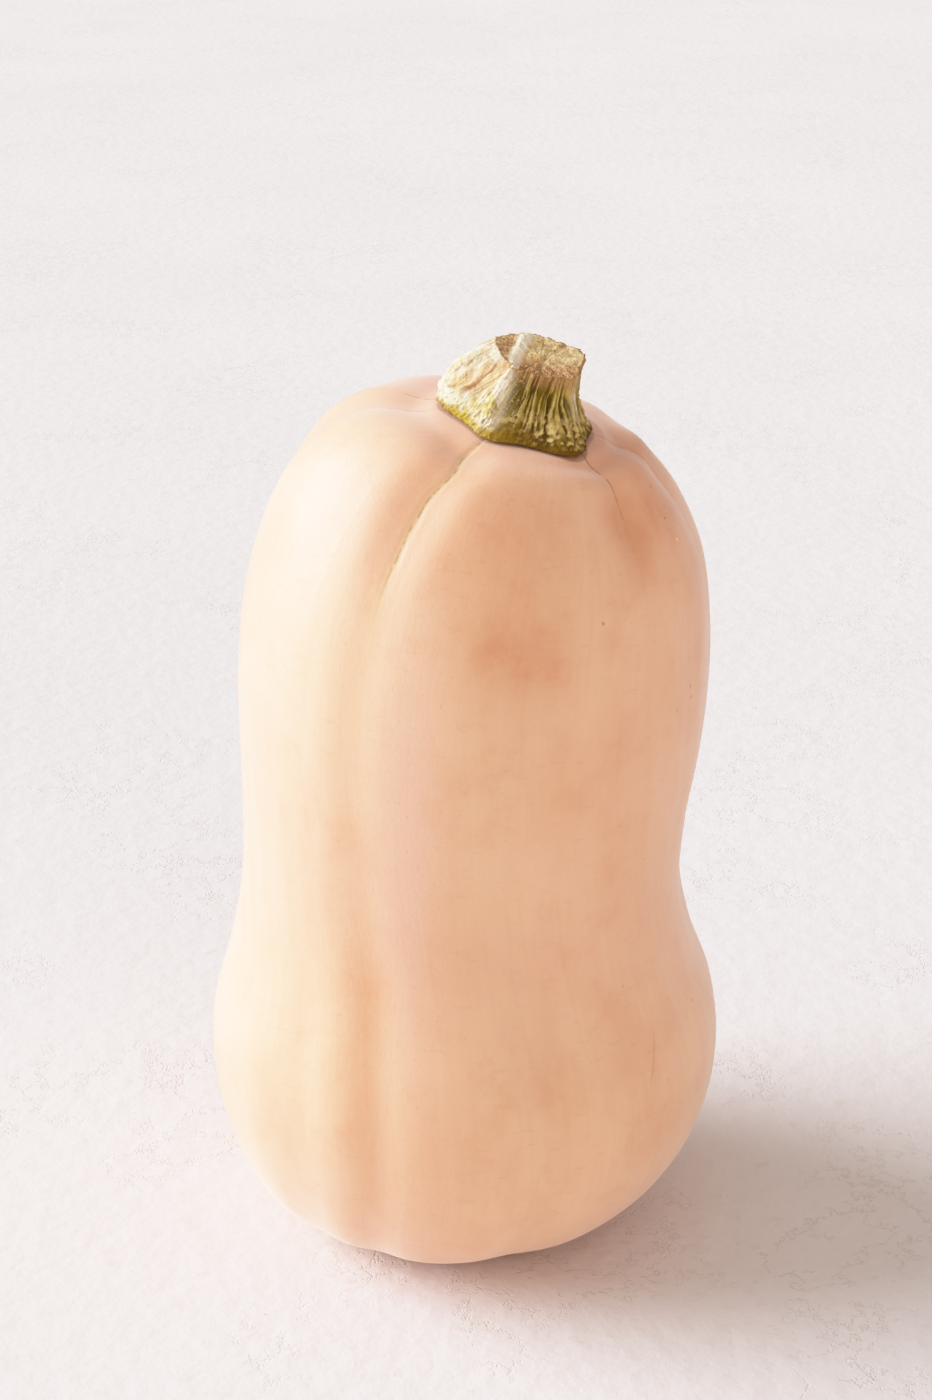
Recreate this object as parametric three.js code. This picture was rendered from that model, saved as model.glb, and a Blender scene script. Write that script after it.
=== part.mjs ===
// Butternut squash standing on its blossom end, with its dry stem.
// Millimetres, +Z up, the front faces -Y, the origin is on the ground under the bulb's middle.
import * as THREE from "three";

// Skin of the fruit from the resting ring up to the stem's seat.
// Each row is one level ring: height, radius, middle to the right, middle to the back.
const SKIN_RINGS = [
  [0, 27, -5.5, 0],
  [4, 40.5, -4.3, 0],
  [13, 52.2, -2.3, 0],
  [27, 60, -0.7, 0],
  [43, 63.5, 0, 0],
  [60, 63, 0, 0],
  [77, 57.8, -0.6, 0],
  [94, 54.2, -0.6, 0],
  [112, 54.3, 0.3, 0],
  [130, 55.8, 1.6, 0],
  [149, 56.4, 2.3, 0],
  [167, 55.1, 3, 0],
  [182, 51.8, 4.2, 0],
  [195, 46, 5.3, -1],
  [204.5, 38.5, 6.8, -3],
  [210, 30.5, 9.8, -5.5],
  [211.5, 19.5, 12.4, -8],
];
const DEPTH_RATIO = 0.98;

// The crown slants down to the right and to the front, more and more above this height.
const SLANT_START = 140;
const SLANT_SPAN = 73.5;
const SLANT_RIGHT = 0.19;
const SLANT_FRONT = 0.085;

// Lengthwise furrows: azimuth in degrees, then depth at the crown, on the neck and on the bulb,
// half-width along the skin, and how many degrees it turns aside close to the stem.
const FURROWS = [
  [-114, 1.9, 0.8, 1.1, 6.2, -8],
  [-74, 0, 0, 1.1, 8, 0],
  [-43, 1.6, 0.1, 0, 7, -1],
  [-5, 1.5, 0.5, 0.4, 7, 4],
  [32, 1.2, 0.9, 0.8, 8, -3],
  [68, 0.8, 0.3, 1.1, 8, 4],
  [103, 1.6, 1.2, 1.2, 8, -5],
  [140, 0.7, 0.3, 0.6, 8, 4],
  [172, 1.4, 0.5, 0.9, 7, 3],
  [-134, 0.2, 0.1, 0.7, 7, 0],
];
const TURN_RADII = [21, 33];
const FURROW_SWAY = 5;
const FURROW_SWAY_LENGTH = 200;
const FURROW_SWAY_MIDDLE = 100;
const BULB_TOP = [76, 108];
const CROWN_START = [180, 204];
const SEAT_MARGIN = [17.5, 24];
const REST_MARGIN = [0, 8];

// Blossom end: a shallow dimple inside the flat resting ring, with a raised scar in it.
const DIMPLE_RADIUS = 15;
const DIMPLE_DEPTH = 2.6;
const SCAR_RADIUS = 5;
const SCAR_HEIGHT = 1.1;
const BLOSSOM_RINGS = [21, 15, 12, 9, 6.5, 5, 3.5, 1.8];

// Stem: its foot stands on the slanted seat, its broken end leans to the right.
const SEAT_GAP = 0.3;
const STEM_HEIGHT = 15;
const STEM_LEAN = [4.8, 1];
const END_SLANT_RIGHT = 0.2;
const END_SLANT_FRONT = 0.25;
const FOOT_RADIUS = 14.6;
const END_RADIUS = 8.3;
const FLARE = 2;

// Ribs of the stem: azimuth at the foot and at the end in degrees,
// how far each stands out at the foot, half way and at the end, and its half-width in degrees.
const RIBS = [
  [170, 157, 4.2, 6.9, 2.6, 24],
  [243, 224, 2.2, 3.1, 1.8, 16],
  [309, 322, 5.8, 1.4, 1.2, 22],
  [360, 386, 2.3, 0.2, 2.4, 25],
  [446, 455, 3.2, 1.6, 1, 22],
];
const FLUTES = 17;
const FLUTE_DEPTH = 0.32;
const FOOT_EDGE = 0.95;
const FOOT_EDGE_HEIGHT = 0.05;

// Hollow in the side between the two left ribs: azimuth at the foot and at the end in degrees.
const SIDE_HOLLOW = [170, 206];
const SIDE_HOLLOW_SPREAD = 13;
const SIDE_HOLLOW_DEPTH = 1.9;
const SIDE_HOLLOW_START = [0.2, 0.5];

// Broken end of the stem: dished, with a ridge across it, a hollow left of the ridge that opens
// at the rim, and coarse torn fibres, where two waves cross (radians per mm to the right and back).
const END_DISH = 0.9;
const END_RIDGE_START = [-7.5, -5.2];
const END_RIDGE_FINISH = [-3, 8];
const END_RIDGE_WIDTH = 1.4;
const END_RIDGE_HEIGHT = 0.7;
const HOLLOW_DEPTH = 2;
const HOLLOW_WIDTH = 3;
const HOLLOW_AZIMUTH = 202;
const HOLLOW_SPREAD = 22;
const HOLLOW_RISE = [0.6, 1];
const TORN_HEIGHT = 0.5;
const TORN_WAVE = [0.9, 0.5];
const TORN_CROSS_WAVE = [-0.4, 1.3];
const END_RINGS = [0.94, 0.8, 0.6, 0.4, 0.2];

const SKIN_STEPS = 42;
const SKIN_AROUND = 90;
const STEM_STEPS = 17;
const STEM_AROUND = 108;

const SKIN_COLOR = "#e8ba92";
const SKIN_ROUGHNESS = 0.5;
const STEM_COLOR = "#a3955a";
const STEM_ROUGHNESS = 0.85;

const degrees = THREE.MathUtils.degToRad;
const smooth = ([from, to], value) => THREE.MathUtils.smoothstep(value, from, to);

function angleBetween(a, b) {
  return Math.atan2(Math.sin(a - b), Math.cos(a - b));
}

const radiusCurve = new THREE.CatmullRomCurve3(
  SKIN_RINGS.map(([height, radius]) => new THREE.Vector3(radius, 0, height)),
  false,
  "catmullrom",
);
const middleCurve = new THREE.CatmullRomCurve3(
  SKIN_RINGS.map(([height, , right, back]) => new THREE.Vector3(right, back, height)),
  false,
  "catmullrom",
);

function slantAt(height) {
  const rise = Math.max(height - SLANT_START, 0) / SLANT_SPAN;
  return rise * rise;
}

// How far the furrows sink the skin at a height, azimuth and ring radius.
function furrowDepth(height, azimuth, radius) {
  const crown = smooth(CROWN_START, height);
  const bulb = 1 - smooth(BULB_TOP, height);
  const neck = 1 - crown - bulb;
  const swing = ((height - FURROW_SWAY_MIDDLE) / FURROW_SWAY_LENGTH) * 2 * Math.PI;
  const sway = FURROW_SWAY * Math.sin(swing);
  const nearStem = crown * (1 - smooth(TURN_RADII, radius));
  const fade = height > BULB_TOP[1] ? smooth(SEAT_MARGIN, radius) : smooth(REST_MARGIN, height);
  let depth = 0;
  for (const [middle, atCrown, atNeck, atBulb, width, turn] of FURROWS) {
    const bottom = degrees(middle - sway + turn * nearStem);
    const away = angleBetween(azimuth, bottom) * radius;
    const valley = Math.exp(-((away / width) ** 2));
    depth += (atCrown * crown + atNeck * neck + atBulb * bulb) * valley;
  }
  return depth * fade;
}

// Point of the skin: along runs from 0 at the resting ring to 1 at the seat's edge.
function skinPoint(along, azimuth) {
  const profile = radiusCurve.getPoint(along);
  const middle = middleCurve.getPoint(along);
  const tangent = radiusCurve.getTangent(along);
  const depth = furrowDepth(profile.z, azimuth, profile.x);
  const radius = profile.x - depth * tangent.z;
  const height = profile.z + depth * tangent.x;
  const right = radius * Math.cos(azimuth);
  const back = radius * Math.sin(azimuth) * DEPTH_RATIO;
  const slant = slantAt(profile.z);
  const lift = slant * (SLANT_FRONT * back - SLANT_RIGHT * right);
  return new THREE.Vector3(middle.x + right, middle.y + back, height + lift);
}

// Point inside the resting ring: flat ground contact, then the dimple with its scar.
function blossomPoint(radius, azimuth) {
  const [, , right, back] = SKIN_RINGS[0];
  const dimple = radius < DIMPLE_RADIUS ? (1 + Math.cos((Math.PI * radius) / DIMPLE_RADIUS)) / 2 : 0;
  const scar = radius < SCAR_RADIUS ? (1 + Math.cos((Math.PI * radius) / SCAR_RADIUS)) / 2 : 0;
  return new THREE.Vector3(
    right + radius * Math.cos(azimuth),
    back + radius * Math.sin(azimuth) * DEPTH_RATIO,
    DIMPLE_DEPTH * dimple - SCAR_HEIGHT * scar,
  );
}

// Point of the flat seat under the stem, radius measured from the seat's middle.
function seatPoint(radius, azimuth) {
  const [height, , middleRight, middleBack] = SKIN_RINGS.at(-1);
  const right = radius * Math.cos(azimuth);
  const back = radius * Math.sin(azimuth) * DEPTH_RATIO;
  const lift = slantAt(height) * (SLANT_FRONT * back - SLANT_RIGHT * right);
  return new THREE.Vector3(middleRight + right, middleBack + back, height + lift);
}

// Radius of the stem at a share of its height.
function stemRadius(share, azimuth) {
  let radius = END_RADIUS + (FOOT_RADIUS - END_RADIUS) * (1 - share) ** FLARE;
  for (const [atFoot, atEnd, footReach, middleReach, endReach, width] of RIBS) {
    const crest = degrees(atFoot + (atEnd - atFoot) * share);
    const away = angleBetween(azimuth, crest) / degrees(width);
    const half = middleReach * Math.sin(Math.PI * share);
    const reach = footReach * (1 - share) ** 2 + half + endReach * share ** 3;
    radius += reach * Math.exp(-(away ** 2));
  }
  const [footHollow, endHollow] = SIDE_HOLLOW;
  const bottom = degrees(THREE.MathUtils.lerp(footHollow, endHollow, share));
  const aside = angleBetween(azimuth, bottom) / degrees(SIDE_HOLLOW_SPREAD);
  radius -= SIDE_HOLLOW_DEPTH * smooth(SIDE_HOLLOW_START, share) * Math.exp(-(aside ** 2));
  return radius + FLUTE_DEPTH * Math.sin(Math.PI * share) * Math.cos(FLUTES * azimuth);
}

// Share of the hollow's depth by which the rim of the end is lowered where the hollow runs out.
function openRim(azimuth) {
  const away = angleBetween(azimuth, degrees(HOLLOW_AZIMUTH)) / degrees(HOLLOW_SPREAD);
  return Math.exp(-(away ** 2));
}

// Point of the stem: share is its height, spread scales its radius, sink lowers the point.
function stemPoint(share, azimuth, spread = 1, sink = 0) {
  const foot = seatPoint(0, 0);
  const slant = slantAt(foot.z);
  const radius = stemRadius(share, azimuth) * spread;
  const right = radius * Math.cos(azimuth);
  const back = radius * Math.sin(azimuth);
  const notch = HOLLOW_DEPTH * share ** 4 * openRim(azimuth);
  const slantRight = THREE.MathUtils.lerp(SLANT_RIGHT * slant, END_SLANT_RIGHT, share);
  const slantFront = THREE.MathUtils.lerp(SLANT_FRONT * slant, END_SLANT_FRONT, share);
  return new THREE.Vector3(
    foot.x + STEM_LEAN[0] * share + right,
    foot.y + STEM_LEAN[1] * share + back,
    foot.z + SEAT_GAP + STEM_HEIGHT * share - slantRight * right + slantFront * back - notch - sink,
  );
}

// How far the broken end lies below its rim at a share of its radius.
function endSink(share, azimuth) {
  const radius = stemRadius(1, azimuth) * share;
  const right = radius * Math.cos(azimuth);
  const back = radius * Math.sin(azimuth);
  const [startRight, startBack] = END_RIDGE_START;
  const runRight = END_RIDGE_FINISH[0] - startRight;
  const runBack = END_RIDGE_FINISH[1] - startBack;
  const cross = (right - startRight) * runBack - (back - startBack) * runRight;
  const beside = cross / Math.hypot(runRight, runBack);
  const ridge = END_RIDGE_HEIGHT * Math.exp(-((beside / END_RIDGE_WIDTH) ** 2));
  const towardsRim = Math.max(openRim(azimuth), 1 - smooth(HOLLOW_RISE, share));
  const hollow = HOLLOW_DEPTH * smooth([0, HOLLOW_WIDTH], -beside) * towardsRim;
  const dish = END_DISH * (1 - share ** 2);
  const wave = ([perRight, perBack]) => Math.sin(perRight * right + perBack * back);
  const torn = wave(TORN_WAVE) * wave(TORN_CROSS_WAVE);
  return dish + hollow * share - ridge + TORN_HEIGHT * torn * (1 - share);
}

// Closed skin over a stack of rings, bottom ring first, with a middle point at each end.
function solidFromRings(rings, bottom, top) {
  const around = rings[0].length;
  const points = [...rings.flat(), bottom, top];
  const bottomIndex = points.length - 2;
  const topIndex = points.length - 1;
  const lastRing = (rings.length - 1) * around;
  const faces = [];
  for (let step = 0; step < around; step++) {
    const next = (step + 1) % around;
    faces.push(bottomIndex, next, step);
    faces.push(topIndex, lastRing + step, lastRing + next);
    for (let level = 0; level < rings.length - 1; level++) {
      const low = level * around;
      const high = low + around;
      faces.push(low + step, low + next, high + next);
      faces.push(low + step, high + next, high + step);
    }
  }
  const geometry = new THREE.BufferGeometry().setFromPoints(points);
  geometry.setIndex(faces);
  geometry.computeVertexNormals();
  return geometry;
}

function ring(around, pointAt) {
  return Array.from({ length: around }, (_, step) => pointAt((step / around) * 2 * Math.PI));
}

function buildFruit() {
  const rings = [];
  for (const radius of BLOSSOM_RINGS.toReversed()) {
    rings.push(ring(SKIN_AROUND, (azimuth) => blossomPoint(radius, azimuth)));
  }
  for (let step = 0; step <= SKIN_STEPS; step++) {
    rings.push(ring(SKIN_AROUND, (azimuth) => skinPoint(step / SKIN_STEPS, azimuth)));
  }
  return solidFromRings(rings, blossomPoint(0, 0), seatPoint(0, 0));
}

function buildStem() {
  const rings = [ring(STEM_AROUND, (azimuth) => stemPoint(0, azimuth, FOOT_EDGE))];
  for (let step = 0; step < STEM_STEPS; step++) {
    const share = THREE.MathUtils.lerp(FOOT_EDGE_HEIGHT, 1, step / (STEM_STEPS - 1));
    rings.push(ring(STEM_AROUND, (azimuth) => stemPoint(share, azimuth)));
  }
  for (const spread of END_RINGS) {
    const sunk = (azimuth) => stemPoint(1, azimuth, spread, endSink(spread, azimuth));
    rings.push(ring(STEM_AROUND, sunk));
  }
  return solidFromRings(rings, stemPoint(0, 0, 0), stemPoint(1, 0, 0, END_DISH));
}

function piece(name, geometry, color, roughness) {
  const material = new THREE.MeshStandardMaterial({ color, roughness, metalness: 0 });
  const mesh = new THREE.Mesh(geometry, material);
  mesh.name = name;
  return mesh;
}

const squash = new THREE.Group();
squash.name = "butternut_squash";
squash.add(piece("fruit", buildFruit(), SKIN_COLOR, SKIN_ROUGHNESS));
squash.add(piece("stem", buildStem(), STEM_COLOR, STEM_ROUGHNESS));

export default squash;
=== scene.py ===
"""Butternut squash on its blossom end, seen from the front and above. Metres, +Z up, front at -Y."""

import math

import bpy
import numpy as np
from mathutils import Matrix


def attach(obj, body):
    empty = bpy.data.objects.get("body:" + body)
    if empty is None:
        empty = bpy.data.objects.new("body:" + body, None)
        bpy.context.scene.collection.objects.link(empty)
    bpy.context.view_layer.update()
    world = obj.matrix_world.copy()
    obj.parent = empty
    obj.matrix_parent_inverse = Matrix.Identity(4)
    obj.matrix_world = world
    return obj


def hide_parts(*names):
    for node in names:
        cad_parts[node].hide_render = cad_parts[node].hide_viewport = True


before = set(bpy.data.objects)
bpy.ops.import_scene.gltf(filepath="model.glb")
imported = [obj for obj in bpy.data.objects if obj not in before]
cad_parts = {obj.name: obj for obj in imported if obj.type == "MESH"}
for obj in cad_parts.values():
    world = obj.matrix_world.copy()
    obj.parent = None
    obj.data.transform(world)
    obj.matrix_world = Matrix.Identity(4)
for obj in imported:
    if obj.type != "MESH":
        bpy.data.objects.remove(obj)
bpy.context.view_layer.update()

MM = 0.001

# Sine that scatters whole-numbered cells: a weight for each axis and a scale.
HASH_WEIGHTS, HASH_SCALE = np.array([12.9898, 78.233, 37.719]), 43758.5453

# Forms that follow the CAD, in mm and degrees. A pair is where a smooth step starts and ends.

# Skin of the fruit, one row a ring: height, radius, middle to the right, middle to the back.
SKIN_RINGS = np.array(
    [
        [0, 27, -5.5, 0],
        [4, 40.5, -4.3, 0],
        [13, 52.2, -2.3, 0],
        [27, 60, -0.7, 0],
        [43, 63.5, 0, 0],
        [60, 63, 0, 0],
        [77, 57.8, -0.6, 0],
        [94, 54.2, -0.6, 0],
        [112, 54.3, 0.3, 0],
        [130, 55.8, 1.6, 0],
        [149, 56.4, 2.3, 0],
        [167, 55.1, 3, 0],
        [182, 51.8, 4.2, 0],
        [195, 46, 5.3, -1],
        [204.5, 38.5, 6.8, -3],
        [210, 30.5, 9.8, -5.5],
        [211.5, 19.5, 12.4, -8],
    ]
)
DEPTH_RATIO = 0.98
SLANT_START, SLANT_SPAN = 140, 73.5
SLANT_RIGHT, SLANT_FRONT = 0.19, 0.085

# Furrows: azimuth, depth at the crown, on the neck and on the bulb, half-width,
# and how far it turns aside close to the stem.
FURROWS = [
    (-114, 1.9, 0.8, 1.1, 6.2, -8),
    (-74, 0, 0, 1.1, 8, 0),
    (-43, 1.6, 0.1, 0, 7, -1),
    (-5, 1.5, 0.5, 0.4, 7, 4),
    (32, 1.2, 0.9, 0.8, 8, -3),
    (68, 0.8, 0.3, 1.1, 8, 4),
    (103, 1.6, 1.2, 1.2, 8, -5),
    (140, 0.7, 0.3, 0.6, 8, 4),
    (172, 1.4, 0.5, 0.9, 7, 3),
    (-134, 0.2, 0.1, 0.7, 7, 0),
]
TURN_RADII = (21, 33)
SWAY, SWAY_LENGTH, SWAY_MIDDLE = 5, 200, 100
BULB_TOP, CROWN_START = (76, 108), (180, 204)
SEAT_MARGIN, REST_MARGIN = (17.5, 24), (0, 8)

DIMPLE_RADIUS, DIMPLE_DEPTH = 15, 2.6
SCAR_RADIUS, SCAR_HEIGHT = 5, 1.1

SEAT_GAP, STEM_HEIGHT, STEM_LEAN = 0.3, 15, (4.8, 1)
END_SLANT_RIGHT, END_SLANT_FRONT = 0.2, 0.25
FOOT_RADIUS, END_RADIUS, FLARE = 14.6, 8.3, 2

# Ribs of the stem: azimuth at foot and end, reach at foot, half way and end, half-width.
RIBS = [
    (170, 157, 4.2, 6.9, 2.6, 24),
    (243, 224, 2.2, 3.1, 1.8, 16),
    (309, 322, 5.8, 1.4, 1.2, 22),
    (360, 386, 2.3, 0.2, 2.4, 25),
    (446, 455, 3.2, 1.6, 1, 22),
]
FLUTES, FLUTE_DEPTH = 17, 0.32
SIDE_HOLLOW = (170, 206, 13)
SIDE_HOLLOW_DEPTH, SIDE_HOLLOW_START = 1.9, (0.2, 0.5)
END_DISH, TORN_HEIGHT = 0.9, 0.5
TORN_WAVE, TORN_CROSS_WAVE = (0.9, 0.5), (-0.4, 1.3)
RIDGE_START, RIDGE_FINISH = (-7.5, -5.2), (-3, 8)
RIDGE_WIDTH, RIDGE_HEIGHT = 1.4, 0.7
HOLLOW_DEPTH, HOLLOW_WIDTH = 2, 3
HOLLOW_AZIMUTH, HOLLOW_SPREAD, HOLLOW_RISE = 202, 22, (0.6, 1)

# Forms that are too small for the CAD, in mm and degrees. A row of noise has its height,
# its squeeze along each axis and its size.

# Thin creases in the crown: azimuth, height where it fades out, depth, half-width, turn by the stem.
CREASES = [
    (-114, 180, 0.4, 0.65, -8),
    (-43, 198, 0.3, 0.7, -1),
    (-5, 192, 0.3, 0.8, 4),
    (157, 204, 0.25, 0.8, 3),
    (178, 203, 0.25, 0.8, 3),
]
CREASE_GROWTH, CREASE_SEAT_MARGIN = 14, (17, 20)
SKIN_WAVES = [(0.22, (1, 1, 0.45), 17), (0.08, (1, 1, 0.3), 6)]
WAVE_REST_MARGIN, WAVE_SEAT_MARGIN = (1, 12), (19.5, 27)
CORK_WAVES, CORK_RADII = [(0.25, (1, 1, 1), 1.6)], (9, 4)

# Fibres of the stem. They wander round it by a noise in radians, read on a small cylinder.
FIBRE_RADIUS = 10
WANDER_RADIUS, WANDER_HEIGHT = 3, 2.5
FIBRE_WANDER = [(0.07, (1, 1, 1), 1), (0.03, (1, 1, 1), 0.4)]
FIBRE_WAVES = [(1, (1, 1, 0.05), 0.36), (0.35, (1, 1, 0.12), 0.24)]
FIBRE_HEIGHT = 0.4
FIBRE_EDGE, FIBRE_START = (-0.1, 0.45), (0.1, 0.35)
TORN_SIDE_WAVES = [(0.6, (1, 1, 0.25), 0.7)]

# Warts near the foot: a large and a small size, and the level of noise where each rises.
WART_HEIGHT, WART_LENGTH, WART_OFFSET = 0.5, 11, 40
WART_SIZES, WART_EDGES = (0.9, 0.55), ((0.16, 0.42), (0.16, 0.4))
SMALL_WART_SHARE = 0.9
WART_TOP, WART_FOOT = (0.6, 0.25), (0.01, 0.08)

# Rough bark, the crust below the stem's end, its jagged rim and the torn end.
BARK_LENGTH = 16
BARK_WAVES = [(0.45, (1, 1, 0.4), 3), (0.12, (1, 1, 1), 0.6)]
CRUST_WAVES, CRUST_START = [(0.2, (1, 1, 1), 0.9)], (0.75, 0.97)
JAG_WAVES, JAG_POWER, NOTCH_POWER = [(0.3, (1, 1, 0), 1.3)], 6, 4
END_WAVES = [(0.3, (1, 0.5, 1), 0.8), (0.2, (1, 1, 1), 1.9)]
END_CRUMBS = [(0.25, (0.6, 1, 1), 0.5)]
SIDE_EDGE, END_EDGE, RIDGE_EDGE = (0.97, 1), (1, 0.9), (1.03, 0.9)

# Meshes: points round a ring, steps between rings and the rings' own places.
SKIN_AROUND, SKIN_STEPS, ALONG_STEP = 288, 204, 1e-4
BLOSSOM_RADII = [0.8, 1.6, 2.4, 3.2, 4, 4.8, 5.6, 6.6, 7.8, 9, 10.5, 12, 13.5, 15, 19, 23]
SEAT_RADII = [16, 12, 8, 4, 1]
STEM_AROUND, STEM_STEPS, FIRST_STEM_RING, FOOT_EDGE = 420, 54, 0.04, 0.95
END_STEPS, END_SPREADS = 24, (0.97, 0.04)

# Zones of the skin with a colour of their own, some of them painted shade and one a painted highlight:
# azimuth, height, half-width, half-height, strength.
TAN_AND_SHADE_PATCHES = [
    (-86, 184, 12, 17, 0.5),
    (-79, 172, 11, 10, 0.6),
    (-47, 203, 4.5, 7, 0.5),
    (-44, 194, 5.5, 8, 0.55),
    # The next four rows darken the right edge and the crown right of the stem: painted shade.
    (-18, 203, 12, 9, 0.7),
    (-12, 184, 9, 24, 0.45),
    (5, 208, 10, 6, 0.6),
    (18, 206, 12, 8, 0.4),
    (-30, 200, 10, 10, 0.35),
    (-23, 174, 9, 26, 0.4),
    (-40, 46, 14, 12, 0.25),
    (-112, 128, 8, 34, 0.2),
    (60, 150, 22, 16, 0.3),
    (118, 58, 26, 18, 0.35),
    (-160, 40, 20, 14, 0.25),
    # The next three rows darken the low furrows: brownish streaks, with painted shade on their shaded
    # sides.
    (-115, 62, 9, 22, 0.4),
    (-112, 86, 6, 14, 0.3),
    (-136, 52, 8, 16, 0.2),
]
PALE_AND_HIGHLIGHT_PATCHES = [
    # This row is a painted highlight along the lit ridge right of the first furrow.
    (-106, 126, 8, 46, 0.75),
    (130, 100, 20, 50, 0.5),
    (20, 120, 16, 50, 0.4),
]
PINK_PATCHES = [
    (-122, 196, 14, 12, 0.8),
    (-28, 186, 16, 18, 0.2),
    (-72, 92, 34, 15, 0.7),
    (-140, 110, 22, 30, 0.4),
    (-58, 150, 18, 20, 0.4),
    (40, 90, 30, 26, 0.6),
    (150, 160, 30, 22, 0.6),
]
FULL_FURROW, MERIDIAN_RADIUS = 1.9, 60
LINE_REACH, LINE_FADE, CREASE_SHADE_HEIGHTS = 12, (-6, 16), (130, 200)
# The back zone is painted shade: deeper orange over the back, where the window light falls strongest.
BACK_SHADE_AZIMUTH, BACK_SHADE_SPREAD, BACK_SHADE_START = 118, 52, (-6, 30)
SCAR_EDGE, BASE_TOP = (9, 3.5), 22
CROWN_RADII, NECK_HEIGHT = (34, 19), 150
CONTACT_SHADOW_REACH = (-4, 9)
SPECK_AZIMUTH, SPECK_SPREAD, SPECK_START = -28, 18.33, (40, 90)
SPECK_SHARE, STRAY_SPECK_SHARE = 0.7, 0.15

# A faint scratch low on the right: azimuth and height at its foot, how far it drifts and climbs.
SCRATCH_AZIMUTH, SCRATCH_HEIGHT = -45, 59.7
SCRATCH_DRIFT, SCRATCH_RISE, SCRATCH_REACH = 3.5, 8.4, 8
SCRATCH_FOOT, SCRATCH_TOP = (58, 61), (70, 67)

# Single marks on the skin: place and half-size.
DARK_SPECKS = [
    (30.6, -44.5, 177, 0.5),
    (51.8, -25.9, 154, 0.55),
    (52, -25.5, 151.1, 0.6),
    (48.4, -31.2, 150.3, 0.4),
    (38.1, -18.7, 202.4, 0.45),
    (41.9, -16.9, 199.1, 0.45),
    (45.4, -20, 192.8, 0.5),
    (45.4, -26.7, 102.2, 0.55),
    (53.2, -27.9, 66.9, 0.45),
]
PALE_SPECKS = [
    (48.4, -19.8, 187.6, 0.55),
    (36.2, -29.9, 196.2, 0.5),
    (37.3, -33.5, 190.3, 0.45),
]

# Marks on the stem's side: azimuth at foot and end, half-width.
LEFT_FACE = (190, 190, 40.1)
RIGHT_STRIP, RIGHT_STRIP_SHARE, RIGHT_STRIP_START = (318, 326, 7.45), 0.85, (0.3, 0.6)
CRUMBS, CRUMBS_START, CRUMBS_FINISH = (262, 242, 12.6), (0.1, 0.3), (1, 0.8)
LEFT_FOOT, FOOT_PATCH = (215, 215, 45.8), (258, 258, 18.9)
FOOT_EDGE_HEIGHT, FOOT_PATCH_HEIGHT, FOOT_FADE = 0.17, 0.27, (1, 0.3)
GREEN_FLANK, GREEN_MIDDLE, GREEN_HEIGHT = (208, 208, 17.2), 0.36, 0.22
CREST_END, BARE_FACE = (226, 226, 17.2), 0.8
# How cream each rib's crest is, and the share of the rib's width that it covers.
CREST_CREAM, CREST_WIDTH = (0, 1.2, 0, 0.12, 0.7), 0.55
SIDE_BROWN, END_BROWN_WIDTH, FAR_FROM_RIDGE = 1.5, 2.5, 5
END_FACE, END_FRONT = (1, 0.93), (3, -5)

# Colours as they look on the screen, 0 to 255.
SKIN_COLOURS = {
    "ground": (229, 172, 136),
    "light ground": (234, 182, 147),
    "deep streak": (222, 160, 121),
    "light streak": (240, 194, 162),
    "thread": (214, 150, 112),
    "mottle": (216, 150, 112),
    "deep blotch": (218, 150, 108),
    "light blotch": (238, 190, 164),
    "tick": (208, 142, 102),
    "pink": (224, 160, 136),
    "pale": (237, 188, 167),
    # Painted shade over the window-lit back.
    "back": (213, 140, 94),
    "tan_and_shade": (206, 134, 84),
    "furrow": (212, 152, 112),
    "crown": (222, 162, 134),
    # Painted shade in the groove beside the first crease line.
    "crease_shade": (208, 174, 124),
    "dot": (170, 104, 64),
    "pore": (188, 128, 92),
    "dark speck": (160, 92, 54),
    "pale speck": (250, 226, 190),
    "scratch": (190, 132, 78),
    "base": (238, 192, 156),
    "cork": (150, 120, 88),
    "light cork": (196, 170, 132),
    # Painted contact shadow where the skin meets the stem.
    "contact": (104, 60, 30),
}
STEM_COLOURS = {
    "dark olive": (92, 70, 5),
    "olive": (130, 104, 12),
    "groove": (72, 50, 8),
    "fibre": (198, 172, 96),
    "wart": (212, 184, 118),
    "cream": (234, 221, 197),
    "worn cream": (212, 194, 156),
    "cream groove": (184, 154, 100),
    "green": (176, 154, 62),
    "pit": (150, 116, 62),
    "glint": (232, 218, 186),
    "foot": (108, 74, 4),
    "left foot": (186, 154, 48),
    "foot shade": (98, 70, 4),
    "crust": (184, 138, 92),
    "torn back": (208, 172, 116),
    "light torn back": (236, 214, 164),
    "torn front": (156, 108, 66),
    "light torn front": (208, 166, 118),
    "torn pit": (132, 88, 50),
    "ridge": (240, 226, 200),
    "brown": (162, 112, 70),
    "light brown": (228, 198, 152),
}
FLOOR_COLOURS = {
    "ground": (225, 216, 211),
    "light ground": (228, 220, 216),
    "grain": (210, 196, 186),
    "hairline": (192, 176, 162),
}

# Noises of the materials: place that each follows, squeeze along its axes, scale, detail, roughness.
SKIN_NOISES = {
    "broad": ("object", (1, 1, 0.5), 24, 3, 0.5),
    "blotches": ("object", (1, 1, 0.7), 42, 4, 0.6),
    "mottle": ("object", (1, 1, 1), 85, 5, 0.65),
    "streaks": ("meridian", (1, 1, 0.09), 170, 4, 0.6),
    "threads": ("meridian", (1, 1, 0.05), 620, 3, 0.55),
    "ticks": ("meridian", (0.35, 0.35, 1.6), 420, 2, 0.5),
    "line wobble": ("object", (1, 1, 1), 150, 2, 0.5),
    "line gaps": ("object", (1, 1, 1), 520, 2, 0.5),
    "dot places": ("object", (1, 1, 1), 110, 1, 0.5),
    "pore places": ("object", (1, 1, 1), 300, 1, 0.5),
    "cork": ("object", (1, 1, 1), 900, 3, 0.5),
    "grain": ("object", (1, 1, 1), 1000, 2, 0.5),
}
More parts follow.
